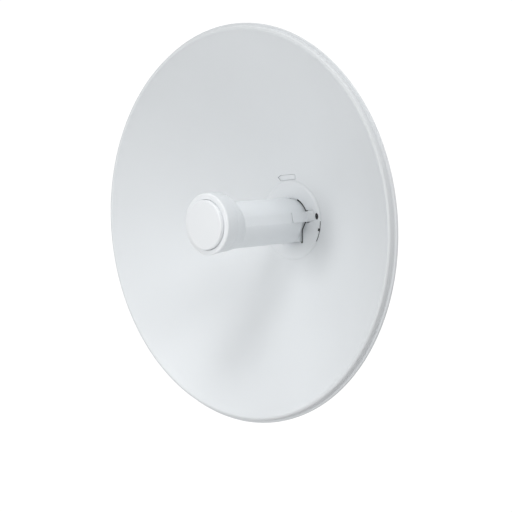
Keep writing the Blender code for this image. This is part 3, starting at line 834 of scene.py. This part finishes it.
# %% Mould the barrel
BARREL_FRONT_T = 0.0217
TAPER_T = (-0.0840, -0.0935)
TAPER_STEPS = 8
tail = dense(tail_outline(0.0), 0.0012)
bearings = [math.atan2(y, x) for x, y in tail]
barrel_loops = []
front = [(0.0, BARREL_FRONT_T), (BARREL_R, BARREL_FRONT_T, 0.0006), (BARREL_R, TAPER_T[0])]
for radius, height in fillet(front)[1:]:
    barrel_loops.append([(radius * math.cos(a), radius * math.sin(a), height) for a in bearings])
for k in range(1, TAPER_STEPS + 1):
    share = k / TAPER_STEPS
    blend = share * share * (3 - 2 * share)
    height = between(*TAPER_T, share)
    loop = []
    for (x, y), a in zip(tail, bearings):
        start = Vector((BARREL_R * math.cos(a), BARREL_R * math.sin(a)))
        loop.append((*start.lerp(Vector((x, y)), blend), height))
    barrel_loops.append(loop)
barrel_loops.append([(x, y, HUB_BOTTOM_T + FIT) for x, y in tail])
barrel = loft("moulded_barrel", barrel_loops)
for _, side in SIDES:
    carve(barrel, bar("side_flat", (FACET_R, -0.02, -0.13), (0.06, 0.02, 0.03), side_place(side)))
soften(barrel, 0.0005, 3, 8)
dress(barrel, "white_plastic", "feed_barrel", sharp=30)

# %% [markdown]
# Each latch is a springy strip that lies on the flat and turns out into a foot, which drops in a slot of the
# hub. Three low ridges on the foot give a fingernail something to pull on.

# %% Mould the latches
LATCH_INNER = FACET_R + FIT
LATCH_OUTER = LATCH_INNER + 0.0016
LATCH_FRONT_T = -0.066
FOOT_BACK_T = HUB_FACE_T - 0.0017
FOOT_FRONT_T = HUB_FACE_T + 0.0003
elbow = fillet(
    [
        (LATCH_INNER, FOOT_BACK_T),
        (LATCH_REACH, FOOT_BACK_T, 0.0006),
        (LATCH_REACH, FOOT_FRONT_T, 0.0006),
        (LATCH_OUTER, FOOT_FRONT_T, 0.0014),
        (LATCH_OUTER, LATCH_FRONT_T, 0.0010),
        (LATCH_INNER, LATCH_FRONT_T),
    ]
)
for name, side in SIDES:
    upright = side_place(side) @ Matrix.Rotation(math.radians(90), 4, "X")
    latch = slab(f"latch_strip_{name}", [elbow], -LATCH_HALF_HEIGHT, LATCH_HALF_HEIGHT, upright)
    soften(latch, 0.0004)
    for k in range(3):
        middle = (LATCH_OUTER + 0.0035 + 0.0022 * k, FOOT_FRONT_T)
        join(latch, slab("ridge", [arc(0.0005, 0, 330, 12, middle)], -0.0050, 0.0050, upright))
    dress(latch, "white_plastic", f"release_latch_{name}")

# %% [markdown]
# ## Cap
# Under the cap sits the small mirror that turns the feed's wave back into the bowl. The shoulder swells from
# the barrel to a wider drum whose centre is 4 to 5 mm higher, so it can't be turned on a lathe: it is one
# more loft. The drum's front is a flat ring, and a plain rounded disc stands a little proud of it.

# %% Mould the cap
CAP_BACK = (0.0385, 0.0052)
CAP_FRONT = (0.0398, 0.0039)
CAP_RING_T = 0.0618
CAP_BACK_T = 0.0420
SHOULDER_BACK_T = 0.0220
FACE_R = 0.0320
FACE_RISE = 0.0033
FACE_T = 0.0665
FACE_BACK_T = 0.0590
DISC_ROOM = 0.0006
SPOKES = 144
SWELL_STEPS = 24


def circle(radius, rise, height):
    spokes = [math.tau * i / SPOKES for i in range(SPOKES)]
    return [(radius * math.cos(a), rise + radius * math.sin(a), height) for a in spokes]


shoulder_loops = []
for k in range(SWELL_STEPS + 1):
    swell = math.sin(math.radians(90) * k / SWELL_STEPS)
    radius, rise = between(BARREL_R, CAP_BACK[0], swell), between(0.0, CAP_BACK[1], swell)
    shoulder_loops.append(circle(radius, rise, between(SHOULDER_BACK_T, CAP_BACK_T, k / SWELL_STEPS)))
dress(loft("cap_swell", shoulder_loops), "white_plastic", "cap_shoulder")

# %% Mould the ring and the disc
drum_loops = [circle(*CAP_BACK, CAP_BACK_T)]
ring_edge = [(CAP_BACK[0], CAP_BACK_T), (CAP_FRONT[0], CAP_RING_T, 0.0020), (0.030, CAP_RING_T)]
for radius, height in fillet(ring_edge, 8)[1:-1]:
    share = (height - CAP_BACK_T) / (CAP_RING_T - CAP_BACK_T)
    drum_loops.append(circle(radius, between(CAP_BACK[1], CAP_FRONT[1], share), height))
drum = loft("cap_ring", drum_loops)
disc_place = DISH_AXIS @ Matrix.Translation((0.0, FACE_RISE, 0.0))
seat_r, seat_t, past_t = FACE_R + DISC_ROOM, FACE_BACK_T - FIT, 0.08
seat = [(0.0, past_t), (seat_r, past_t), (seat_r, seat_t), (0.0, seat_t)]
carve(drum, lathe("disc_seat", seat, SPOKES, disc_place))
soften(drum, 0.0003, 2, 60)
dress(drum, "cap_plastic", "cap_drum")
disc_corners = [(0.0, FACE_T), (FACE_R, FACE_T, 0.0022), (FACE_R, FACE_BACK_T), (0.0, FACE_BACK_T)]
disc_section = fillet(disc_corners, 8)
dress(lathe("cap_disc", disc_section, SPOKES, disc_place), "cap_plastic", "cap_face")

# %% [markdown]
# ## Rear housing
# Behind the hub a round housing carries the plug and the four bolts of the bracket. Its side is ribbed, so
# wet hands can hold it. The ribs are drawn in the radius itself: as the angle goes round, the radius dips a
# little, and only inside the ribbed band. A groove marks where the two halves of the shell meet.

# %% Mould the housing
HOUSING_R = 0.068
HOUSING_BACK_T = -0.138
RIB_COUNT = 60
RIB_DEPTH = 0.0009
RIB_BAND = (-0.1050, -0.1170)
BAY_SHARE = 0.90
SPLIT_T = -0.1210
SPLIT_DEPTH = 0.0008
HOUSING_SPOKES = 480
PLAN = Matrix.Identity(4)


def ribbed_circle(radius, height):
    """A ring with ribs inside the band, left smooth at the bottom, where the port bay joins."""
    inside = RIB_BAND[1] < height < RIB_BAND[0]
    ring = []
    for i in range(HOUSING_SPOKES):
        a = math.tau * i / HOUSING_SPOKES
        at_bay = -math.sin(a) > BAY_SHARE
        dip = RIB_DEPTH * max(0.0, math.cos(RIB_COUNT * a)) ** 0.7 if inside and not at_bay else 0.0
        ring.append(((radius - dip) * math.cos(a), (radius - dip) * math.sin(a), height))
    return ring


def behind_sheet(radius):
    """Where the housing may start, so that the bowl's sheet lies in front of it."""
    return bowl_t(radius) - SHEET * math.hypot(1.0, bowl_slope(radius)) - FIT


SEAT_R = HUB_NECK_R + 0.0009
housing_path = fillet(
    [
        (SEAT_R, HUB_BOTTOM_T - FIT),
        (SEAT_R, behind_sheet(SEAT_R)),
        (0.0600, behind_sheet(0.0600)),
        (HOUSING_R, behind_sheet(HOUSING_R), 0.0008),
        (HOUSING_R, RIB_BAND[0] + 0.0008),
        (HOUSING_R, RIB_BAND[0] - 0.0002),
        (HOUSING_R, RIB_BAND[1] + 0.0002),
        (HOUSING_R, RIB_BAND[1] - 0.0008),
        (HOUSING_R, SPLIT_T + 0.0007, 0.0003),
        (HOUSING_R - SPLIT_DEPTH, SPLIT_T + 0.0004, 0.0003),
        (HOUSING_R - SPLIT_DEPTH, SPLIT_T - 0.0004, 0.0003),
        (HOUSING_R, SPLIT_T - 0.0007, 0.0003),
        (HOUSING_R, HOUSING_BACK_T, 0.0100),
        (0.0400, HOUSING_BACK_T),
    ],
    7,
)
housing = loft("moulded_housing", [ribbed_circle(r, t) for r, t in housing_path])
print("housing is", round(2 * HOUSING_R * 1000), "mm across with", RIB_COUNT, "ribs")

# %% Join the port bay and cut the bolt holes
BAY_HALF_X = 0.022
BAY_FRONT_Y = RIM_Y + 0.098
BAY_BACK_Y = RIM_Y + 0.132
BAY_BOTTOM_Z = -0.073
HUB_BOLT_AT = 0.036
M6, M8 = 0.0030, 0.0040  # the radii of the bolts
M6_HOLE, M8_HOLE = 0.0035, 0.0045
HOUSING_BACK_Y = RIM_Y - HOUSING_BACK_T
bay_low, bay_high = (-BAY_HALF_X, BAY_FRONT_Y), (BAY_HALF_X, BAY_BACK_Y)
join(housing, slab("port_bay", [rounded(bay_low, bay_high, 0.0045)], BAY_BOTTOM_Z, -0.0600, PLAN))
carve(housing, slab("key_pocket", [key_outline(FIT, FIT)], -KEY_DEPTH - FIT, 0.01, key_place))
hub_bolt_places = [(x, z) for z in (HUB_BOLT_AT, -HUB_BOLT_AT) for x in (-HUB_BOLT_AT, HUB_BOLT_AT)]


def along_y(x, y, z, forward=False):
    """Local Z runs along world Y, from the point towards the pole, or towards the dish if forward."""
    turn = Matrix.Rotation(math.radians(90 if forward else -90), 4, "X")
    return Matrix.Translation((x, y, z)) @ turn


def along_x(x, y, z, side):
    """Local Z runs along world X, out on the given side."""
    return Matrix.Translation((x, y, z)) @ Matrix.Rotation(math.radians(90 * side), 4, "Y")


def drill(piece, radius, low, high, *places):
    """Drills the same round hole at each place."""
    for place in places:
        carve(piece, slab("bore", [arc(radius, 0, 352.5, 48)], low, high, place))


drill(housing, M6_HOLE, -0.0130, 0.01, *[along_y(x, HOUSING_BACK_Y, z) for x, z in hub_bolt_places])
dress(housing, "white_plastic", "rear_housing", sharp=32)

# %% [markdown]
# The port cover slides off downwards so that the plug can be reached. Low ridges on its two sides are the
# grip. The gland under it squeezes a rubber ring around the cord, and its fluted collar is turned by hand.

# %% Mould the port cover and the gland
COVER_BOTTOM_Z = -0.090
RIDGE_HALF = Vector((0.0007, 0.0090, 0.0005))
cover_outline = rounded(bay_low, bay_high, 0.0050)
cover = slab("port_door", [cover_outline], COVER_BOTTOM_Z, BAY_BOTTOM_Z - FIT, PLAN)
soften(cover, 0.0016, 3, 60)
middle_y = (BAY_FRONT_Y + BAY_BACK_Y) / 2
for _, side in SIDES:
    for k in range(4):
        middle = Vector((side * BAY_HALF_X, middle_y, BAY_BOTTOM_Z - 0.0045 - 0.0030 * k))
        join(cover, bar("ridge", middle - RIDGE_HALF, middle + RIDGE_HALF, PLAN))
dress(cover, "white_plastic", "port_cover", sharp=32)


def fluted_circle(radius, height, dip=0.0):
    """A ring whose radius dips evenly, once for each flute."""
    spokes = [math.tau * i / SPOKES for i in range(SPOKES)]
    radii = [radius - dip * max(0.0, math.cos(FLUTES * a)) for a in spokes]
    return [(r * math.cos(a), r * math.sin(a), height) for r, a in zip(radii, spokes)]


FLUTES = 12
gland_path = (
    # radius, height, depth of the flutes
    (0.0090, 0.0000),
    (0.0090, 0.0016),
    (0.0080, 0.0019),
    (0.0080, 0.0026),
    (0.0087, 0.0030, 0.0006),
    (0.0088, 0.0084, 0.0007),
    (0.0080, 0.0098, 0.0004),
    (0.0058, 0.0113),
    (0.0042, 0.0119),
    (0.0030, 0.0120),
    (0.0026, 0.0108),
)
downward = Matrix.Translation((0.0, middle_y, COVER_BOTTOM_Z - FIT)) @ Matrix.Rotation(math.pi, 4, "X")
gland = loft("gland_collar", [fluted_circle(*row) for row in gland_path], downward)
dress(gland, "black_rubber", "cable_gland", sharp=35)

# %% [markdown]
# ## Steel brackets
# The brackets are cut and folded from zinc-coated sheet. A fold always leaves a radius of about the sheet's
# own thickness, and shears leave edges that are broken by tumbling. So the roots of the cheeks and ears get
# a fillet, and every edge a fine bevel. The dish bracket's curved slot lets the dish tilt about its upper
# bolts.

# %% Fold the dish bracket
STEEL = 0.0025
WEB_STEEL = 0.0030
CHEEK_INNER_X = 0.0235
PLATE_HALF = 0.046
PLATE_FRONT_Y = HOUSING_BACK_Y + FIT
PLATE_BACK_Y = PLATE_FRONT_Y + WEB_STEEL
CHEEK_REAR_Y = -0.011
CHEEK_HALF_Z = 0.032
CHEEK_CUT = 0.008
PIVOT = (-0.027, 0.021)
LOCK_Z = -0.021
SWING = 10
SLOT_HALF = 0.0045
ROOT_R = 0.0022
ROOT_BITE = 0.0004
SHEAR_EDGE = 0.0004
THROUGH = 0.05
FROM_SIDE = Matrix(((0, 0, 1, 0), (1, 0, 0, 0), (0, 1, 0, 0), (0, 0, 0, 1)))
FACE_ON = Matrix(((1, 0, 0, 0), (0, 0, 1, 0), (0, 1, 0, 0), (0, 0, 0, 1)))


def root_fillets(x_inner, x_outer, y, half_z, way):
    """Quarter rounds where a folded ear leaves its web, on both faces of both ears."""
    fillets = []
    for x, out in ((x_inner, -1), (x_outer, 1), (-x_inner, 1), (-x_outer, -1)):
        centre_x, centre_y = x + out * ROOT_R, y + way * ROOT_R
        curve = [(centre_x - out * px, centre_y - way * py) for px, py in arc(ROOT_R, 0, 90, 7)]
        sunk_x, sunk_y = x - out * ROOT_BITE, y - way * ROOT_BITE
        outline = [(sunk_x, sunk_y), (sunk_x, centre_y), *curve, (centre_x, sunk_y)]
        fillets.append(slab("root_fillet", [outline], 0.0006 - half_z, half_z - 0.0006, PLAN))
    return fillets


def plate(name, half_x, half_z, corner, low_y, high_y):
    """An upright plate with rounded corners."""
    return slab(name, [rounded((-half_x, -half_z), (half_x, half_z), corner)], low_y, high_y, FACE_ON)


def add_ears(piece, outline, inner_x, root_y, half_z, way):
    """Two folded ears, on the right and the left, with their root fillets."""
    outer_x = inner_x + STEEL
    for low_x, high_x in ((inner_x, outer_x), (-outer_x, -inner_x)):
        join(piece, slab("ear", [outline], low_x, high_x, FROM_SIDE))
    join(piece, *root_fillets(inner_x, outer_x, root_y, half_z, way))


def swing_slot():
    """The curved slot that the lock bolt runs in, centred on the pivot."""
    reach = PIVOT[1] - LOCK_Z
    low, high = -90 - SWING, -90 + SWING
    outer = arc(reach + SLOT_HALF, low, high, 17, PIVOT)
    inner = arc(reach - SLOT_HALF, high, low, 17, PIVOT)
    low_tip, high_tip = arc(reach, low, high, 2, PIVOT)
    high_end = arc(SLOT_HALF, high, high + 180, 12, high_tip)[1:-1]
    low_end = arc(SLOT_HALF, low + 180, low + 360, 12, low_tip)[1:-1]
    return outer + high_end + inner + low_end


dish_bracket = plate("tilt_bracket", PLATE_HALF, PLATE_HALF, 0.0060, PLATE_FRONT_Y, PLATE_BACK_Y)
cheek_outline = fillet(
    [
        (PLATE_BACK_Y - 0.001, -CHEEK_HALF_Z),
        (CHEEK_REAR_Y - CHEEK_CUT, -CHEEK_HALF_Z, 0.0030),
        (CHEEK_REAR_Y, CHEEK_CUT - CHEEK_HALF_Z, 0.0030),
        (CHEEK_REAR_Y, CHEEK_HALF_Z - CHEEK_CUT, 0.0030),
        (CHEEK_REAR_Y - CHEEK_CUT, CHEEK_HALF_Z, 0.0030),
        (PLATE_BACK_Y - 0.001, CHEEK_HALF_Z),
    ]
)
add_ears(dish_bracket, cheek_outline, CHEEK_INNER_X, PLATE_BACK_Y, CHEEK_HALF_Z, 1)
drill(dish_bracket, M6_HOLE, -0.01, 0.01, *[along_y(x, PLATE_FRONT_Y, z) for x, z in hub_bolt_places])
drill(dish_bracket, M8_HOLE, -THROUGH, THROUGH, along_x(0.0, *PIVOT, 1))
carve(dish_bracket, slab("swing_slot", [swing_slot()], -THROUGH, THROUGH, FROM_SIDE))
soften(dish_bracket, SHEAR_EDGE, angle=50)
dress(dish_bracket, "zinc_steel", "dish_bracket", sharp=32)

# %% [markdown]
# The pole bracket bears on the pole with two notched jaws. Teeth are sheared into the notches, so the dish
# can't creep round the pole in a storm. The clamp on the other side is the same idea, only shorter.

# %% Fold the pole bracket and its clamp
EAR_FRONT_Y = -0.0365
EAR_HALF_Z = 0.031
WEB_HALF_X = 0.052
WEB_HALF_Z = 0.036
JAW_HALF_X = 0.030
JAW_STEEL = 0.0030
JAW_CORNER = 0.0020
NOTCH_FLAT = 0.0035
CLAMP_FRONT_Y = 0.0577
CLAMP_HALF_Z = 0.021
CLAMP_BOLT_X = 0.040
TOOTH = 0.0016


def toothed(start, end):
    """A zigzag from one point to another, its teeth cut back to the left of the way."""
    start, end = Vector(start), Vector(end)
    along = (end - start).normalized()
    away = Vector((-along.y, along.x)) * TOOTH * 0.45
    count = int((end - start).length / TOOTH)
    points = []
    for k in range(count):
        points.append(tuple(start + along * TOOTH * k))
        points.append(tuple(start + along * TOOTH * (k + 0.5) + away))
    return points + [tuple(end)]


def jaw(back_y, tip_y, apex_y):
    """A jaw seen from above, its toothed notch open towards the pole."""
    way = 1 if tip_y > back_y else -1
    mouth = abs(tip_y - apex_y)
    flank = toothed((way * NOTCH_FLAT, apex_y + way * NOTCH_FLAT), (way * mouth, tip_y))
    right = [(way * x, y) for x, y in flank]
    left = [(-x, y) for x, y in right][::-1]
    left_side = fillet([(-JAW_HALF_X, back_y), (-JAW_HALF_X, tip_y, JAW_CORNER), left[0]])
    right_side = fillet([right[-1], (JAW_HALF_X, tip_y, JAW_CORNER), (JAW_HALF_X, back_y)])
    return left_side[:-1] + left + right + right_side[1:]


def add_jaws(piece, back_y, tip_y, apex_y, half_z):
    """An upper and a lower jaw on a web, and the two holes beside them."""
    for _, side in SIDES:
        low_z, high_z = sorted((side * half_z, side * (half_z - JAW_STEEL)))
        join(piece, slab("jaw", [jaw(back_y, tip_y, apex_y)], low_z, high_z, PLAN))
    drill(piece, M8_HOLE, -0.01, 0.01, *[along_y(side * CLAMP_BOLT_X, back_y, 0.0) for _, side in SIDES])


pole_bracket = plate("pole_saddle", WEB_HALF_X, WEB_HALF_Z, 0.0050, -WEB_STEEL, 0.0)
ear_outline = fillet(
    [
        (-0.001, -EAR_HALF_Z),
        (-0.001, EAR_HALF_Z),
        (EAR_FRONT_Y, EAR_HALF_Z, 0.0040),
        (EAR_FRONT_Y, 0.0175 - EAR_HALF_Z),
        (EAR_FRONT_Y + 0.0035, -EAR_HALF_Z, 0.0040),
    ]
)
add_ears(pole_bracket, ear_outline, CHEEK_INNER_X + STEEL + FIT, -WEB_STEEL, EAR_HALF_Z, -1)
add_jaws(pole_bracket, -0.0015, 0.024, 0.0020, WEB_HALF_Z - 0.0005)
tilt_holes = [along_x(0.0, PIVOT[0], z, 1) for z in (PIVOT[1], LOCK_Z)]
drill(pole_bracket, M8_HOLE, -THROUGH, THROUGH, *tilt_holes)
soften(pole_bracket, SHEAR_EDGE, angle=50)
dress(pole_bracket, "zinc_steel", "pole_bracket", sharp=32)
CLAMP_BACK_Y = CLAMP_FRONT_Y + WEB_STEEL
clamp = plate("pole_strap", WEB_HALF_X, CLAMP_HALF_Z, 0.0050, CLAMP_FRONT_Y, CLAMP_BACK_Y)
clamp_jaws = [CLAMP_FRONT_Y + offset for offset in (0.0015, -0.021, 0.001)]
add_jaws(clamp, *clamp_jaws, CLAMP_HALF_Z - 0.0005)
soften(clamp, SHEAR_EDGE, angle=50)
dress(clamp, "zinc_steel", "pole_clamp", sharp=32)

# %% [markdown]
# ## Fasteners
# A thread is a helix, so its radius depends on the angle as well as on the height. One full turn of the
# angle shifts the profile by one pitch. Heads and nuts are hexagons whose corners are cut by a cone, as
# they are on the real bar stock. That cut is what makes the bright curved facets on every nut.

# %% Threads, heads and nuts
PITCH = {M6: 0.0010, M8: 0.00125}
ROD_SPOKES = 24
HEAD_BITE = 0.0005


def threaded(name, radius, low, high, place):
    """A threaded rod with a chamfered tip at the high end."""
    pitch, depth = PITCH[radius], PITCH[radius] * 0.55
    steps = max(2, round((high - low) / pitch * 6))
    loops = []
    for k in range(steps + 1):
        height = between(low, high, k / steps)
        tip = min(1.0, (high - height) / 0.0008)
        loop = []
        for i in range(ROD_SPOKES):
            phase = (height / pitch - i / ROD_SPOKES) % 1.0
            groove = depth * tip * (1.0 - abs(2.0 * phase - 1.0))
            r = radius - 0.00002 - groove - 0.0006 * (1.0 - tip)
            a = math.tau * i / ROD_SPOKES
            loop.append((r * math.cos(a), r * math.sin(a), height))
        loops.append(loop)
    return loft(name, loops, place)


def hexagon(name, width, low, high, place):
    """A hexagon across its flats, its corners cut by cones at both ends."""
    corner = width / math.sqrt(3)
    prism = slab(name, [arc(corner, 0, 300, 6)], low, high, place)
    cone = [(0.0, low), (width * 0.475, low), (corner * 1.01, low + 0.0009), (corner * 1.01, high - 0.0009)]
    carve(prism, lathe("cone", cone + [(width * 0.475, high), (0.0, high)], 64, place), operation="INTERSECT")
    return prism


def bolt(name, radius, tip, place, node):
    """A flanged bolt. Local Z points out of its head, and its flange bears at zero."""
    head = hexagon(name, radius * 3.2, 0.0008, 0.0016 + radius * 1.25, place)
    wide, top = radius * 2.1, 0.0017
    flange = [(0.0, 0.0), (wide, 0.0, 0.0002), (wide, 0.0009, 0.0003), (radius * 1.5, top), (0.0, top)]
    inward = place @ Matrix.Rotation(math.pi, 4, "X")
    shank = threaded("shank", radius, -HEAD_BITE, tip, inward)
    join(head, lathe("flange", fillet(flange), 64, place), shank)
    dress(head, "bright_steel", node, sharp=32)


def nut(name, radius, low, high, place, node):
    """A nut with a countersunk hole."""
    body = hexagon(name, radius * 3.25, low, high, place)
    mouth = radius + 0.0010
    hole = [(0.0, low - 0.001), (mouth + 0.001, low - 0.001), (radius + 0.0001, low + 0.0008)]
    hole += [(radius + 0.0001, high - 0.0008), (mouth + 0.001, high + 0.001), (0.0, high + 0.001)]
    carve(body, lathe("hole", hole, 48, place))
    dress(body, "bright_steel", node, sharp=32)


for number, (x, z) in enumerate(hub_bolt_places, start=1):
    bolt(f"plate_screw_{number}", M6, 0.0115, along_y(x, PLATE_BACK_Y + FIT, z), f"hub_bolt_{number}")
print("the dish bracket is held by", len(hub_bolt_places), "screws")

# %% Tilt bolts through the ears
TILT_BOLT_REACH = 2 * STEEL + 3 * FIT + 0.0085
for kind, z in (("pivot", PIVOT[1]), ("lock", LOCK_Z)):
    for name, side in SIDES:
        head_seat = along_x(side * (CHEEK_INNER_X + 2 * STEEL + 2 * FIT), PIVOT[0], z, side)
        nut_seat = along_x(side * (CHEEK_INNER_X - FIT), PIVOT[0], z, -side)
        bolt(f"tilt_screw_{kind}_{name}", M8, TILT_BOLT_REACH, head_seat, f"{kind}_bolt_{name}")
        nut(f"tilt_nut_{kind}_{name}", M8, 0.0, 0.0065, nut_seat, f"{kind}_nut_{name}")

# %% [markdown]
# The clamp's two long bolts have low round heads, which leave room beside the ears for a spanner. Their
# nuts are on the clamp's side, where a socket reaches them, and a washer spreads the load of each nut.

# %% Clamp bolts, washers and nuts
CLAMP_BOLT_START_Y = -WEB_STEEL - 0.0010
CLAMP_BOLT_END_Y = 0.0725
DOME_R, DOME_RISE, DOME_EDGE = 0.0090, 0.0041, 0.0004
WASHER_IN, WASHER_OUT, WASHER_STEEL = 0.0043, 0.0085, 0.0016
dome = [(DOME_R * x, DOME_EDGE + DOME_RISE * y) for x, y in arc(1, 0, 84, 15)]
dome_section = [(0.0, 0.0), (0.0088, 0.0), *dome, (0.0, DOME_EDGE + DOME_RISE)]
washer_section = fillet(
    [
        (WASHER_IN, 0.0),
        (WASHER_OUT, 0.0, 0.0003),
        (WASHER_OUT, WASHER_STEEL, 0.0005),
        (WASHER_IN, WASHER_STEEL),
    ]
)
for name, side in SIDES:
    x = side * CLAMP_BOLT_X
    middle = along_y(x, 0.0, 0.0)
    shank = threaded(f"strap_bolt_{name}", M8, CLAMP_BOLT_START_Y, CLAMP_BOLT_END_Y, middle)
    join(shank, lathe("dome", dome_section, 64, along_y(x, -WEB_STEEL - FIT, 0.0, True)))
    dress(shank, "bright_steel", f"clamp_bolt_{name}", sharp=32)
    seat = along_y(x, CLAMP_BACK_Y + FIT, 0.0)
    washer = lathe(f"strap_washer_{name}", washer_section, 64, seat)
    dress(washer, "bright_steel", f"clamp_washer_{name}")
    nut(f"strap_nut_{name}", M8, 0.0019, 0.0087, seat, f"clamp_nut_{name}")
